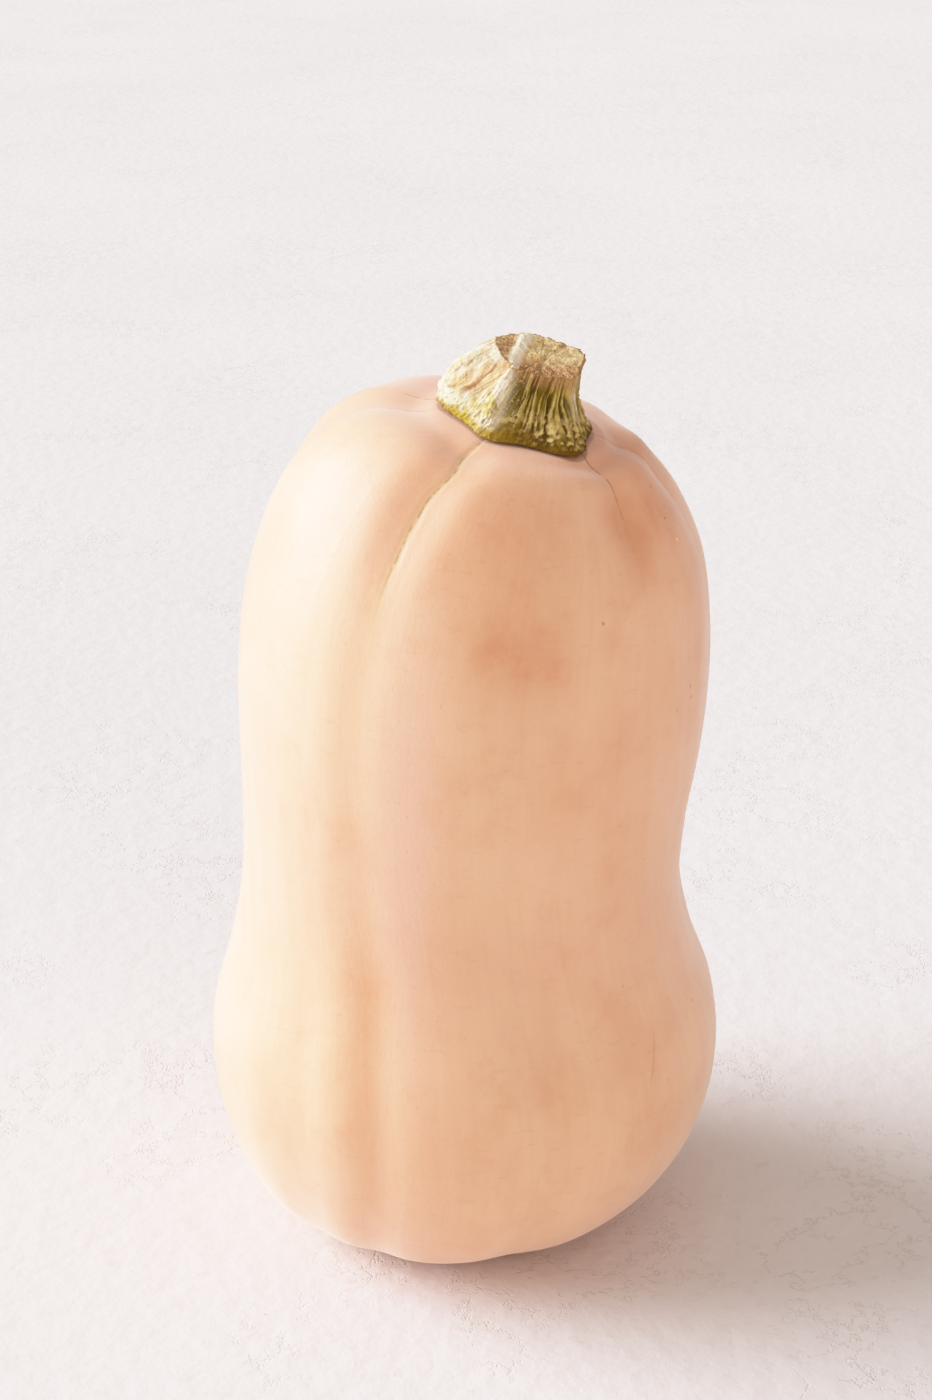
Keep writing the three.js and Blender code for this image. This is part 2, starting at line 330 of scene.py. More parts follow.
STEM_NOISES = {
    "fibre": ("fibres", (1, 1, 0.08), 1700, 3, 0.6),
    "patch": ("object", (1, 1, 1), 170, 3, 0.5),
    "green spots": ("object", (1, 1, 1), 260, 3, 0.5),
    "green flank": ("object", (1, 1, 1), 380, 3, 0.5),
    "torn": ("object", (1, 1, 1), 520, 4, 0.7),
    "pits": ("object", (1, 1, 1), 620, 3, 0.5),
    "grain": ("object", (1, 1, 1), 700, 4, 0.6),
    "relief": ("object", (1, 1, 1), 850, 4, 0.5),
    "torn pits": ("object", (1, 1, 1), 900, 3, 0.5),
}
FLOOR_NOISES = {
    "cloud": ("object", (1, 1, 1), 5, 2, 0.5),
    "hairline places": ("object", (1, 1, 1), 14, 2, 0.5),
    "hairlines": ("object", (1, 1, 1), 38, 5, 0.7),
    "relief": ("object", (1, 1, 1), 45, 5, 0.65),
    "grain": ("object", (1, 1, 1), 160, 4, 0.5),
}

# Layers of colour, one over the other: zone of the mesh or none, noise that breaks it up,
# two levels of the noise, share of the colour at each level, colour.
SKIN_LAYERS = [
    (None, "broad", (0.35, 0.68), (0, 1), "light ground"),
    (None, "streaks", (0.5, 0.72), (0, 0.16), "deep streak"),
    (None, "streaks", (0.48, 0.3), (0, 0.16), "light streak"),
    (None, "threads", (0.5, 0.75), (0, 0.14), "thread"),
    (None, "mottle", (0.5, 0.72), (0, 0.3), "mottle"),
    (None, "blotches", (0.52, 0.68), (0, 0.28), "deep blotch"),
    (None, "blotches", (0.46, 0.32), (0, 0.22), "light blotch"),
    (None, "ticks", (0.62, 0.74), (0, 0.2), "tick"),
    ("pink", "mottle", (0.3, 0.7), (0.15, 0.5), "pink"),
    # Pale zones, with a painted highlight along the ridge right of the first furrow.
    ("pale", "mottle", (0.3, 0.7), (0.8, 0.8), "pale"),
    # Painted shade: deeper orange over the back, where the window light falls strongest.
    ("back", "broad", (0.3, 0.7), (0.4, 0.75), "back"),
    # Darker brownish stains, and painted shade on the right edge and in the low furrows.
    ("tan_and_shade", "mottle", (0.3, 0.65), (0.6, 1), "tan_and_shade"),
    ("furrow", "mottle", (0.3, 0.7), (0.3, 0.3), "furrow"),
    ("crown", "streaks", (0.3, 0.7), (0.2, 0.6), "crown"),
]
CORK_LAYERS = [(None, "cork", (0.35, 0.65), (0, 1), "light cork")]
BARK_LAYERS = [
    (None, "patch", (0.35, 0.65), (0, 1), "olive"),
    (None, "fibre", (0.55, 0.4), (0, 0.6), "groove"),
    ("ridge", "grain", (0.3, 0.6), (0.55, 0.95), "fibre"),
    ("wart", "grain", (0.3, 0.55), (0.5, 0.95), "wart"),
]
CREAM_LAYERS = [
    (None, "grain", (0.35, 0.7), (0, 1), "worn cream"),
    (None, "fibre", (0.52, 0.68), (0, 0.6), "cream groove"),
]
PIT_LAYERS = [("cream", "pits", (0.56, 0.64), (0, 0.5), "pit")]
FOOT_LAYERS = [(None, "grain", (0.4, 0.6), (0, 0.4), "foot shade")]
TORN_BACK_LAYERS = [(None, "torn", (0.35, 0.62), (0, 1), "light torn back")]
TORN_FRONT_LAYERS = [(None, "fibre", (0.38, 0.62), (0, 1), "light torn front")]
TORN_LAYERS = [(None, "torn pits", (0.58, 0.68), (0, 0.6), "torn pit")]
BROWN_LAYERS = [(None, "fibre", (0.35, 0.62), (0, 1), "light brown")]
FLOOR_LAYERS = [
    (None, "cloud", (0.3, 0.7), (0, 1), "light ground"),
    (None, "grain", (0.6, 0.75), (0, 0.35), "grain"),
]

# Dots: scale of their cells, their edge, and the noise, levels and shares that thin them out.
SKIN_DOTS = (240, (0.13, 0.06), "dot places", (0.62, 0.7), (0, 1))
SKIN_PORES = (620, (0.2, 0.08), "pore places", (0.55, 0.65), (0, 1))
STEM_GLINTS = (1500, (0.42, 0.2), "grain", (0.35, 0.6), (0, 0.7))

# Lines, marks and edges of the skin. An edge is where a mark begins and where it is full, in mm,
# or in half-widths for the crease lines and the single specks.
LINE_EDGE, LINE_GAPS, LINE_SHARES = (2.4, 0.4), (0.42, 0.56), (0.12, 0.85)
# Painted shade beside the first crease: its edge in half-widths, and its strength.
CREASE_SHADE_EDGE, CREASE_SHADE_STRENGTH = (2.2, 0.2), 0.28
SPECK_EDGE, SPECK_STRENGTH, PORE_STRENGTH = (1.2, 0.4), 0.7, 0.2
SCRATCH_EDGE, SCRATCH_STRENGTH = (0.45, 0.12), 0.4
# The contact shadow is painted: a dark line round the stem's foot.
CONTACT_SHADOW_EDGE, CONTACT_SHADOW_STRENGTH, BASE_STRENGTH = (0.45, 0), 0.5, 0.25
# The line in each crease, in the order of the creases: colour and half-width.
CREASE_LINES = [
    ((146, 128, 66), 0.22),
    ((164, 116, 78), 0.2),
    ((184, 124, 84), 0.26),
    ((158, 112, 82), 0.22),
    ((168, 122, 92), 0.22),
]

# Zones of the stem and the floor: levels of the noise or height that breaks each up, and shares.
CREAM_LEVELS, CREAM_SHARES = (0.26, 0.52), (0.65, 1)
GREEN_SPOT_LEVELS, GREEN_SPOT_HEIGHTS = (0.52, 0.6), (0.75, 0.5)
GREEN_FLANK_LEVELS, GREEN_STRENGTH = (0.38, 0.52), 0.85
FOOT_LEVELS, FOOT_SHARES = (0.25, 0.6), (0.65, 1)
CRUST_HEIGHTS, CRUST_LEVELS, CRUST_SHARES = (0.74, 0.95), (0.38, 0.6), (0.3, 1)
HOLLOW_LEVELS, HOLLOW_SHARES = (0.25, 0.5), (0.6, 0.95)
RIDGE_COLOUR_EDGE = (2, 0.9)
HAIRLINE_EDGE, HAIRLINE_LEVELS, HAIRLINE_STRENGTH = (0.012, 0.003), (0.5, 0.62), 0.2

# Roughness by a noise, its levels and the roughness at each; strength and depth in metres of the
# bump; how much threads and pores count in the skin's bump.
SKIN_ROUGHNESS = ("streaks", (0.3, 0.7), (0.42, 0.52))
STEM_ROUGHNESS = ("grain", (0.3, 0.7), (0.6, 0.85))
FLOOR_ROUGHNESS = 0.75
SKIN_BUMP, STEM_BUMP, FLOOR_BUMP = (0.22, 0.0003), (0.8, 0.0007), (0.35, 0.0012)
THREAD_RELIEF, PORE_RELIEF = 0.5, 0.7
SKIN_FINISH = {
    "Specular IOR Level": 0.36,
    "Subsurface Weight": 0.12,
    "Subsurface Radius": (0.006, 0.003, 0.0015),
    "Subsurface Scale": 1.0,
    "Coat Weight": 0.04,
    "Coat Roughness": 0.35,
    "Sheen Weight": 0.38,
    "Sheen Roughness": 0.5,
}
STEM_FINISH = {"Specular IOR Level": 0.15}
FLOOR_FINISH = {"Specular IOR Level": 0.2}

# Floor, light and camera, in metres and degrees.
FLOOR_RADIUS, FLOOR_SIDES = 20, 96
ROOM_COLOUR, ROOM_STRENGTH = (1.0, 0.93, 0.9, 1.0), 0.575
# Lamps: name, where its light comes from, its spread in degrees, strength, tint.
LAMPS = [
    ("window", (-2.74, 0.5, 1.12), 47, 6.4, (0.96, 1.0, 1.11)),
    ("front_fill", (1.4, -3, 0.6), 30, 0.75, (1.0, 0.9, 0.78)),
]
# Film curve: straight up to the middle tones, then it rolls off slowly.
FILM_CURVE = [(0, 0), (0.125, 0.26), (0.25, 0.52), (0.37, 0.72), (0.5, 0.86), (0.7, 0.95), (1, 1)]
FILM_WHITE = 2.0
CAMERA_PLACE, CAMERA_DOWN = (0.00035, -0.583, 0.39845), 24
FOCAL_PIXELS, LONG_SIDE_PIXELS, SENSOR_WIDTH, CAMERA_RANGE = 2650, 1400, 36, (0.05, 30)


def smooth(start, end, value):
    k = np.clip((value - start) / (end - start), 0, 1)
    return k * k * (3 - 2 * k)


def angle_between(a, b):
    return np.arctan2(np.sin(a - b), np.cos(a - b))


def bell(azimuth, middle, spread, power=2):
    """1 at a middle azimuth and 0 well away from it, with middle and spread in degrees."""
    away = angle_between(azimuth, np.radians(middle)) / math.radians(spread)
    return np.exp(-(away**power))


def curve(points, along):
    """Uniform Catmull-Rom curve through the rows of points, along from 0 to 1."""
    last = len(points) - 1
    ends = np.vstack([2 * points[0] - points[1], points, 2 * points[-1] - points[-2]])
    place = np.clip(along, 0, 1) * last
    index = np.minimum(place.astype(int), last - 1)
    w = (place - index)[:, None]
    before, start, finish, after = (ends[index + k] for k in range(4))
    leave, arrive = (finish - before) / 2, (after - start) / 2
    bend = 2 * start - 2 * finish + leave + arrive
    turn = -3 * start + 3 * finish - 2 * leave - arrive
    return ((bend * w + turn) * w + leave) * w + start


def lattice(cell):
    """A repeatable random number from 0 to 1 for each whole-numbered cell."""
    mix = np.sin(cell @ HASH_WEIGHTS) * HASH_SCALE
    return mix - np.floor(mix)


def noise(points, size):
    """Smooth noise from -1 to 1 with features of that size."""
    scaled = points / size
    base = np.floor(scaled)
    f = scaled - base
    f = f * f * (3 - 2 * f)
    total = 0
    for corner in np.ndindex(2, 2, 2):
        weight = np.prod(np.where(corner, f, 1 - f), axis=-1)
        total = total + weight * lattice(base + np.array(corner))
    return total * 2 - 1


def waves(points, rows):
    """Sum of noises, one row a noise: height, squeeze along each axis, size."""
    return sum(height * noise(points * squeeze, size) for height, squeeze, size in rows)


def on_cylinder(radius, azimuth, height):
    return np.stack([radius * np.cos(azimuth), radius * np.sin(azimuth), height], -1)


def slant_at(height):
    return (np.maximum(height - SLANT_START, 0) / SLANT_SPAN) ** 2


def sway_at(height):
    return SWAY * np.sin((height - SWAY_MIDDLE) / SWAY_LENGTH * 2 * math.pi)


def off_line(height, azimuth, radius, middle, turn):
    """How far along the skin a point lies from a furrow's lowest line."""
    near_stem = smooth(*CROWN_START, height) * (1 - smooth(*TURN_RADII, radius))
    bottom = np.radians(middle - sway_at(height) + turn * near_stem)
    return angle_between(azimuth, bottom) * radius


def furrow_depth(height, azimuth, radius):
    crown = smooth(*CROWN_START, height)
    bulb = 1 - smooth(*BULB_TOP, height)
    neck = 1 - crown - bulb
    depth = 0
    for middle, at_crown, at_neck, at_bulb, width, turn in FURROWS:
        away = off_line(height, azimuth, radius, middle, turn)
        share = at_crown * crown + at_neck * neck + at_bulb * bulb
        depth = depth + share * np.exp(-((away / width) ** 2))
    high = smooth(*SEAT_MARGIN, radius)
    low = smooth(*REST_MARGIN, height)
    return depth * np.where(height > BULB_TOP[1], high, low)


def crease_depth(height, azimuth, radius):
    depth = 0
    for middle, fade_height, sink, width, turn in CREASES:
        away = off_line(height, azimuth, radius, middle, turn)
        strength = smooth(fade_height, fade_height + CREASE_GROWTH, height)
        depth = depth + sink * strength * np.exp(-((away / width) ** 2))
    return depth * smooth(*CREASE_SEAT_MARGIN, radius)


def ring_grid(rows, azimuths):
    return np.meshgrid(rows, azimuths, indexing="ij")


def skin_wall(along, azimuths):
    """Grid of skin points from the resting ring to the seat, with ring height, radius and azimuth."""
    rings = curve(SKIN_RINGS, along)
    run = curve(SKIN_RINGS, along + ALONG_STEP)[:, :2] - curve(SKIN_RINGS, along - ALONG_STEP)[:, :2]
    run /= np.linalg.norm(run, axis=1)[:, None]
    height, azimuth = ring_grid(rings[:, 0], azimuths)
    radius = rings[:, 1][:, None] + 0 * azimuth
    right, back = rings[:, 2][:, None], rings[:, 3][:, None]
    margin = smooth(*WAVE_REST_MARGIN, height) * smooth(*WAVE_SEAT_MARGIN, radius)
    ripple = waves(on_cylinder(radius, azimuth, height), SKIN_WAVES) * margin
    depth = furrow_depth(height, azimuth, radius) + crease_depth(height, azimuth, radius) + ripple
    out = radius - depth * run[:, 0][:, None]
    up = height + depth * run[:, 1][:, None]
    x, y = out * np.cos(azimuth), out * np.sin(azimuth) * DEPTH_RATIO
    lift = slant_at(height) * (SLANT_FRONT * y - SLANT_RIGHT * x)
    return np.stack([right + x, back + y, up + lift], -1), height, radius, azimuth


def blossom(radii, azimuths):
    """Grid inside the resting ring: flat contact, dimple and corky scar."""
    radius, azimuth = ring_grid(radii, azimuths)
    dimple = np.where(radius < DIMPLE_RADIUS, (1 + np.cos(math.pi * radius / DIMPLE_RADIUS)) / 2, 0)
    scar = np.where(radius < SCAR_RADIUS, (1 + np.cos(math.pi * radius / SCAR_RADIUS)) / 2, 0)
    right, back = SKIN_RINGS[0, 2], SKIN_RINGS[0, 3]
    x, y = radius * np.cos(azimuth), radius * np.sin(azimuth) * DEPTH_RATIO
    rough = waves(np.stack([x, y, 0 * x], -1), CORK_WAVES) * smooth(*CORK_RADII, radius)
    z = DIMPLE_DEPTH * dimple - SCAR_HEIGHT * scar + np.abs(rough)
    return np.stack([right + x, back + y, z], -1), 0 * radius, radius, azimuth


def seat(radii, azimuths):
    """Grid of the flat seat under the stem."""
    height, _, right, back = SKIN_RINGS[-1]
    radius, azimuth = ring_grid(radii, azimuths)
    x, y = radius * np.cos(azimuth), radius * np.sin(azimuth) * DEPTH_RATIO
    lift = slant_at(height) * (SLANT_FRONT * y - SLANT_RIGHT * x)
    return np.stack([right + x, back + y, height + lift], -1), height + 0 * radius, radius, azimuth


def closed_mesh(name, grid, bottom, top):
    """Closed smooth mesh over a grid of rings, bottom ring first."""
    rows, around = grid.shape[:2]
    points = np.vstack([grid.reshape(-1, 3), bottom, top]) * MM
    step = np.arange(around)
    following = (step + 1) % around
    quads = []
    for row in range(rows - 1):
        low, high = row * around, (row + 1) * around
        quads.append(np.stack([low + step, low + following, high + following, high + step], 1))
    quads = np.vstack(quads)
    south, north = rows * around, rows * around + 1
    low_fan = np.stack([np.full(around, south), following, step], 1)
    edge = (rows - 1) * around
    high_fan = np.stack([np.full(around, north), edge + step, edge + following], 1)
    faces = quads.tolist() + low_fan.tolist() + high_fan.tolist()
    mesh = bpy.data.meshes.new(name)
    mesh.from_pydata(points.tolist(), [], faces)
    mesh.polygons.foreach_set("use_smooth", np.ones(len(faces), dtype=bool))
    piece = bpy.data.objects.new(name, mesh)
    bpy.context.scene.collection.objects.link(piece)
    return piece


def store(piece, name, values):
    """Keeps one number a vertex for the material, the two pole vertices last."""
    flat = np.concatenate([values.reshape(-1), values[0, :1], values[-1, :1]])
    attribute = piece.data.attributes.new(name, "FLOAT", "POINT")
    attribute.data.foreach_set("value", flat.astype(np.float32))


def store_places(piece, name, places):
    """Keeps one place a vertex, in metres, for the material's noise."""
    flat = np.concatenate([places.reshape(-1, 3), places[0, :1], places[-1, :1]]) * MM
    attribute = piece.data.attributes.new(name, "FLOAT_VECTOR", "POINT")
    attribute.data.foreach_set("vector", flat.astype(np.float32).reshape(-1))


def patches(places, height, azimuth, radius):
    total = 0
    for middle, level, width, tall, strength in places:
        away = angle_between(azimuth, np.radians(middle)) * radius
        total = total + strength * np.exp(-((away / width) ** 2) - ((height - level) / tall) ** 2)
    return np.clip(total, 0, 1)


def make_fruit():
    azimuths = np.arange(SKIN_AROUND) / SKIN_AROUND * 2 * math.pi - math.pi
    parts = [
        blossom(np.array(BLOSSOM_RADII), azimuths),
        skin_wall(np.linspace(0, 1, SKIN_STEPS + 1), azimuths),
        seat(np.array(SEAT_RADII), azimuths),
    ]
    grid, height, radius, azimuth = (np.vstack([part[k] for part in parts]) for k in range(4))
    bottom = blossom(np.zeros(1), azimuths[:1])[0][0, 0]
    top = seat(np.zeros(1), azimuths[:1])[0][0, 0]
    fruit = closed_mesh("fruit_skin", grid, bottom, top)
    store_crease_lines(fruit, height, azimuth, radius)
    store_skin_zones(fruit, height, azimuth, radius)
    meridian = azimuth + np.radians(sway_at(height))
    store_places(fruit, "meridian", on_cylinder(MERIDIAN_RADIUS, meridian, height))
    return fruit


def store_crease_lines(fruit, height, azimuth, radius):
    """How far each vertex is from each crease, in mm, and how strong the crease is at that height."""
    for number, (middle, fade_height, _, _, turn) in enumerate(CREASES):
        away = off_line(height, azimuth, radius, middle, turn)
        low, high = LINE_FADE
        store(fruit, f"crease_{number}", np.clip(away, -LINE_REACH, LINE_REACH))
        store(fruit, f"crease_fade_{number}", smooth(fade_height + low, fade_height + high, height))
    store(fruit, "crease_shade", smooth(*CREASE_SHADE_HEIGHTS, height))


def store_skin_zones(fruit, height, azimuth, radius):
    """Zones of the skin for the material, 0 to 1, and distances from the stem and the scratch in mm."""
    sunk = furrow_depth(height, azimuth, radius) / FULL_FURROW
    store(fruit, "furrow", np.clip(sunk, 0, 1))
    store(fruit, "tan_and_shade", patches(TAN_AND_SHADE_PATCHES, height, azimuth, radius))
    store(fruit, "pink", patches(PINK_PATCHES, height, azimuth, radius))
    store(fruit, "pale", patches(PALE_AND_HIGHLIGHT_PATCHES, height, azimuth, radius))
    store(fruit, "back", bell(azimuth, BACK_SHADE_AZIMUTH, BACK_SHADE_SPREAD, 4) * smooth(*BACK_SHADE_START, height))
    store(fruit, "scar", smooth(*SCAR_EDGE, radius) * (height <= 0))
    store(fruit, "base", 1 - smooth(0, BASE_TOP, height))
    store(fruit, "crown", smooth(*CROWN_RADII, radius) * (height > NECK_HEIGHT))
    off_stem = radius - stem_radius(np.zeros_like(azimuth), azimuth)
    from_foot = np.where(height > NECK_HEIGHT, off_stem, CONTACT_SHADOW_REACH[1])
    store(fruit, "from_foot", np.clip(from_foot, *CONTACT_SHADOW_REACH))
    right_edge = bell(azimuth, SPECK_AZIMUTH, SPECK_SPREAD) * smooth(*SPECK_START, height)
    store(fruit, "speck_zone", SPECK_SHARE * right_edge + STRAY_SPECK_SHARE)
    lean = SCRATCH_AZIMUTH + SCRATCH_DRIFT * (height - SCRATCH_HEIGHT) / SCRATCH_RISE
    scratch = angle_between(azimuth, np.radians(lean)) * radius
    store(fruit, "scratch", np.clip(scratch, -SCRATCH_REACH, SCRATCH_REACH))


def band_along(share, azimuth, at_foot, at_end, width, power=2):
    """1 on a line up the stem from one azimuth at its foot to another at its end, 0 beside it."""
    return bell(azimuth, at_foot + (at_end - at_foot) * share, width, power)


def stem_radius(share, azimuth):
    radius = END_RADIUS + (FOOT_RADIUS - END_RADIUS) * (1 - share) ** FLARE
    for at_foot, at_end, foot, middle, end, width in RIBS:
        reach = foot * (1 - share) ** 2 + middle * np.sin(math.pi * share) + end * share**3
        radius = radius + reach * band_along(share, azimuth, at_foot, at_end, width)
    radius = radius - SIDE_HOLLOW_DEPTH * side_hollow(share, azimuth)
    return radius + FLUTE_DEPTH * np.sin(math.pi * share) * np.cos(FLUTES * azimuth)


def side_hollow(share, azimuth):
    """The hollow between the two left ribs, 1 in its middle."""
    return smooth(*SIDE_HOLLOW_START, share) * band_along(share, azimuth, *SIDE_HOLLOW)


def open_rim(azimuth):
    """Share of the hollow's depth by which the rim is lowered where the hollow runs out."""
    return bell(azimuth, HOLLOW_AZIMUTH, HOLLOW_SPREAD)


def fibre_places(share, azimuth):
    """Places that follow the stem's fibres, which wander a little round it, so noise runs lengthwise."""
    round_it = on_cylinder(WANDER_RADIUS, azimuth, WANDER_HEIGHT * share)
    return on_cylinder(FIBRE_RADIUS, azimuth + waves(round_it, FIBRE_WANDER), STEM_HEIGHT * share)


def fibre_ridges(share, azimuth):
    """Fine raised fibres, 1 on a crest."""
    fine = waves(fibre_places(share, azimuth), FIBRE_WAVES)
    return smooth(*FIBRE_EDGE, fine) * smooth(*FIBRE_START, share)


def wart_heights(share, azimuth):
    """Blunt warts near the foot, 1 on top."""
    spots = on_cylinder(stem_radius(share, azimuth), azimuth, WART_LENGTH * share)
    large = smooth(*WART_EDGES[0], noise(spots, WART_SIZES[0]))
    small = smooth(*WART_EDGES[1], noise(spots + WART_OFFSET, WART_SIZES[1]))
    lumps = np.clip(large + SMALL_WART_SHARE * small, 0, 1)
    return lumps * smooth(*WART_TOP, share) * smooth(*WART_FOOT, share)


def bark(share, azimuth, spots):
    """How far the fine forms of the stem's side stand out."""
    rough = waves(spots, BARK_WAVES) + waves(spots, CRUST_WAVES) * smooth(*CRUST_START, share)
    torn = waves(fibre_places(share, azimuth), TORN_SIDE_WAVES) * side_hollow(share, azimuth)
    raised = FIBRE_HEIGHT * fibre_ridges(share, azimuth) + WART_HEIGHT * wart_heights(share, azimuth)
    return rough + torn + raised


def stem_grid(share, azimuth, spread, sink):
    """Grid of stem points: share of the height, spread of the radius and how far they sink."""
    height, _, foot_x, foot_y = SKIN_RINGS[-1]
    slant = slant_at(height)
    rim = stem_radius(share, azimuth)
    spots = on_cylinder(rim, azimuth, BARK_LENGTH * share)
    radius = (rim + bark(share, azimuth, spots) * smooth(*SIDE_EDGE, spread)) * spread
    x, y = radius * np.cos(azimuth), radius * np.sin(azimuth)
    notch = HOLLOW_DEPTH * share**NOTCH_POWER * open_rim(azimuth)
    jag = waves(spots, JAG_WAVES) * share**JAG_POWER
    lean_right = SLANT_RIGHT * slant * (1 - share) + END_SLANT_RIGHT * share
    lean_front = SLANT_FRONT * slant * (1 - share) + END_SLANT_FRONT * share
    lift = lean_front * y - lean_right * x
    z = height + SEAT_GAP + STEM_HEIGHT * share + lift - notch - sink + jag
    return np.stack([foot_x + STEM_LEAN[0] * share + x, foot_y + STEM_LEAN[1] * share + y, z], -1)


def end_sink(spread, azimuth):
    """How far the torn end lies below its rim, and how far right of the ridge a point is."""
    radius = stem_radius(np.ones_like(azimuth), azimuth) * spread
    x, y = radius * np.cos(azimuth), radius * np.sin(azimuth)
    run = (RIDGE_FINISH[0] - RIDGE_START[0], RIDGE_FINISH[1] - RIDGE_START[1])
    beside = ((x - RIDGE_START[0]) * run[1] - (y - RIDGE_START[1]) * run[0]) / math.hypot(*run)
    ridge = RIDGE_HEIGHT * np.exp(-((beside / RIDGE_WIDTH) ** 2)) * smooth(*RIDGE_EDGE, spread)
    towards_rim = np.maximum(open_rim(azimuth), 1 - smooth(*HOLLOW_RISE, spread))
    hollow = HOLLOW_DEPTH * smooth(0, HOLLOW_WIDTH, -beside) * towards_rim
    torn = np.sin(TORN_WAVE[0] * x + TORN_WAVE[1] * y)
    torn = torn * np.sin(TORN_CROSS_WAVE[0] * x + TORN_CROSS_WAVE[1] * y)
    spots = np.stack([x, y, 0 * x], -1)
    rough = waves(spots, END_WAVES) + np.abs(waves(spots, END_CRUMBS))
    sink = END_DISH * (1 - spread**2) + hollow * spread - ridge
    return sink + TORN_HEIGHT * torn * (1 - spread) + rough * smooth(*END_EDGE, spread), beside


def make_stem():
    azimuths = np.arange(STEM_AROUND) / STEM_AROUND * 2 * math.pi
    shares = np.concatenate([[0], np.linspace(FIRST_STEM_RING, 1, STEM_STEPS)])
    share, azimuth = ring_grid(shares, azimuths)
    edge = np.ones_like(share)
    edge[0] = FOOT_EDGE
    side = stem_grid(share, azimuth, edge, 0)
    spread, end_azimuth = ring_grid(np.linspace(*END_SPREADS, END_STEPS), azimuths)
    sink, beside = end_sink(spread, end_azimuth)
    face = stem_grid(np.ones_like(spread), end_azimuth, spread, sink)
    centre = np.zeros((1, 1))
    foot = stem_grid(centre, centre, centre, 0)[0, 0]
    stem = closed_mesh("stem_fibres", np.vstack([side, face]), foot, face[-1].mean(axis=0))
    for name, on_side, on_end in stem_zones(share, azimuth, spread, end_azimuth, beside):
        store(stem, name, np.vstack([on_side, on_end]))
    end_fibres = fibre_places(np.ones_like(spread), end_azimuth)
    end_fibres[:, :, :2] *= spread[:, :, None]
    store_places(stem, "fibres", np.vstack([fibre_places(share, azimuth), end_fibres]))
    return stem


def stem_zones(share, azimuth, spread, end_azimuth, beside):
    """Zones of the stem for the material, each with its values on the side and on the torn end."""
    blank_side, blank_end = np.zeros_like(share), np.zeros_like(spread)
    left_face = band_along(share, azimuth, *LEFT_FACE, power=4)
    strip = band_along(share, azimuth, *RIGHT_STRIP) * smooth(*RIGHT_STRIP_START, share)
    cream = left_face + RIGHT_STRIP_SHARE * strip
    for on_crest, (at_foot, at_end, _, _, _, width) in zip(CREST_CREAM, RIBS):
        cream = cream + on_crest * band_along(share, azimuth, at_foot, at_end, width * CREST_WIDTH)
    crumbs = band_along(share, azimuth, *CRUMBS) * smooth(*CRUMBS_START, share)
    crumbs = crumbs * smooth(*CRUMBS_FINISH, share)
    foot_height = FOOT_EDGE_HEIGHT + FOOT_PATCH_HEIGHT * band_along(share, azimuth, *FOOT_PATCH)
    flank = band_along(share, azimuth, *GREEN_FLANK)
    flank = flank * np.exp(-(((share - GREEN_MIDDLE) / GREEN_HEIGHT) ** 2))
    bare = np.maximum(band_along(share, azimuth, *CREST_END), BARE_FACE * left_face)
    brown = np.clip(SIDE_BROWN * side_hollow(share, azimuth), 0, 1)
    y = stem_radius(blank_end + 1, end_azimuth) * spread * np.sin(end_azimuth)
    return [
        ("share", share, blank_end + 1),
        ("end", blank_side, smooth(*END_FACE, spread)),
        ("beside", blank_side + FAR_FROM_RIDGE, beside),
        ("cream", np.clip(cream, 0, 1), blank_end),
        ("hollow", brown, smooth(0, END_BROWN_WIDTH, -beside)),
        ("ridge", fibre_ridges(share, azimuth), blank_end),
        ("wart", wart_heights(share, azimuth), blank_end),
        ("crusty", crumbs, blank_end),
        ("left_foot", band_along(share, azimuth, *LEFT_FOOT), blank_end),
        ("foot", smooth(*FOOT_FADE, share / foot_height), blank_end),
        ("greenish", flank, blank_end),
        ("bare", bare, blank_end),
        ("facing", blank_side, smooth(*END_FRONT, y)),
    ]


